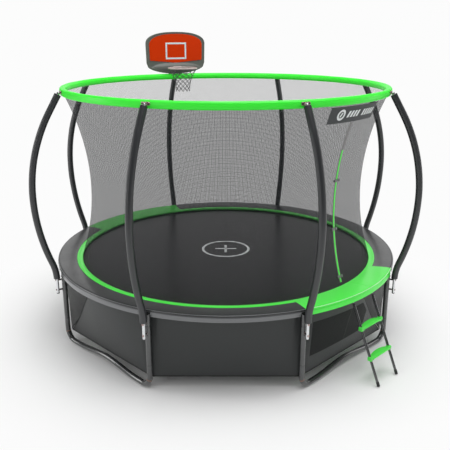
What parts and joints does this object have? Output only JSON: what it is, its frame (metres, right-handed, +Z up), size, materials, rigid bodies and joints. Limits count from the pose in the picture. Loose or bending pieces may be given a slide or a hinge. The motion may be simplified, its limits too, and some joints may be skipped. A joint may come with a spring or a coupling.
{
  "type": "trampoline",
  "caption": "Round garden trampoline with bowed-pole safety net, green pads, entrance ladder with two steps and a small basketball backboard.",
  "frame": {"origin": "on the floor under the centre of the mat", "axes": "+Z up, -Y towards the viewer of the picture, +X to the right"},
  "size_m": [3.8854, 3.8854, 3.16],
  "materials": {
    "dark_steel": "satin dark powder coat",
    "zinc_steel": "bright zinc plate",
    "foam_pvc": "dark grey foam in satin PVC",
    "green_pvc": "glossy bright green PVC",
    "grey_pvc": "satin dark grey PVC",
    "mesh_net": "fine grey knitted mesh",
    "jump_fabric": "woven dark grey jumping fabric",
    "skirt_fabric": "dark grey woven skirt fabric",
    "orange_board": "glossy orange",
    "grey_plastic": "moulded grey plastic",
    "white_steel": "white paint",
    "green_plastic": "moulded green plastic"
  },
  "bodies": {
    "frame": {"rail_1": "dark_steel", "floor_base_1": "dark_steel", "rail_2": "dark_steel", "floor_base_2": "dark_steel", "rail_3": "dark_steel", "floor_base_3": "dark_steel", "rail_4": "dark_steel", "floor_base_4": "dark_steel", "leg_1": "dark_steel", "pole_1": "zinc_steel", "foam_sleeve_1": "foam_pvc", "leg_2": "dark_steel", "pole_2": "zinc_steel", "foam_sleeve_2": "foam_pvc", "leg_3": "dark_steel", "pole_3": "zinc_steel", "foam_sleeve_3": "foam_pvc", "leg_4": "dark_steel", "pole_4": "zinc_steel", "foam_sleeve_4": "foam_pvc", "leg_5": "dark_steel", "pole_5": "zinc_steel", "foam_sleeve_5": "foam_pvc", "leg_6": "dark_steel", "pole_6": "zinc_steel", "foam_sleeve_6": "foam_pvc", "leg_7": "dark_steel", "pole_7": "zinc_steel", "foam_sleeve_7": "foam_pvc", "leg_8": "dark_steel", "pole_8": "zinc_steel", "foam_sleeve_8": "foam_pvc", "hoop_tube": "zinc_steel", "hoop_cover": "green_pvc", "enclosure_net": "mesh_net", "banner": "skirt_fabric", "zip_tape": "green_pvc", "springs": "zinc_steel", "pad_grey_right": "grey_pvc", "pad_green_back": "green_pvc", "pad_grey_left": "grey_pvc", "pad_green_entrance": "green_pvc", "entrance_flap": "green_pvc", "skirt_front": "skirt_fabric", "skirt_right": "skirt_fabric", "skirt_back": "skirt_fabric", "skirt_left": "skirt_fabric", "board_frame": "grey_plastic", "board_face": "orange_board", "rim": "white_steel", "rim_net": "mesh_net"},
    "mat": {"mat": "jump_fabric"},
    "ladder": {"ladder_rail_left": "dark_steel", "ladder_rail_right": "dark_steel", "ladder_step_lower": "green_plastic", "ladder_step_upper": "green_plastic"},
    "zip_slider": {"zip_slider": "dark_steel"},
    "buckle_bottom": {"buckle_1": "grey_plastic"},
    "buckle_middle": {"buckle_2": "grey_plastic"},
    "buckle_top": {"buckle_3": "grey_plastic"}
  },
  "joints": [
    {"name": "mat_bounce", "type": "slide", "parent": "frame", "child": "mat", "axis": [0, 0, 1], "range_m": [-0.25, 0], "stiffness_N_per_m": 5000, "springref_m": 0.08, "deforming": ["springs"]},
    {"name": "ladder_swing", "type": "hinge", "parent": "frame", "child": "ladder", "pos_m": [1.28982, -1.28982, 0.785], "axis": [-0.7071, -0.7071, 0], "range_deg": [0, 60], "deforming": ["entrance_flap"]},
    {"name": "zip_slide", "type": "hinge", "parent": "frame", "child": "zip_slider", "pos_m": [2.66084, -2.66084, 1.605], "axis": [0.7071, 0.7071, 0], "range_deg": [0, 31]},
    {"name": "buckle_bottom_slide", "type": "slide", "parent": "frame", "child": "buckle_bottom", "axis": [0.7071, 0.7071, 0], "range_m": [0, 0.018]},
    {"name": "buckle_middle_slide", "type": "slide", "parent": "frame", "child": "buckle_middle", "axis": [0.7071, 0.7071, 0], "range_m": [0, 0.018]},
    {"name": "buckle_top_slide", "type": "slide", "parent": "frame", "child": "buckle_top", "axis": [0.7071, 0.7071, 0], "range_m": [0, 0.018]}
  ]
}
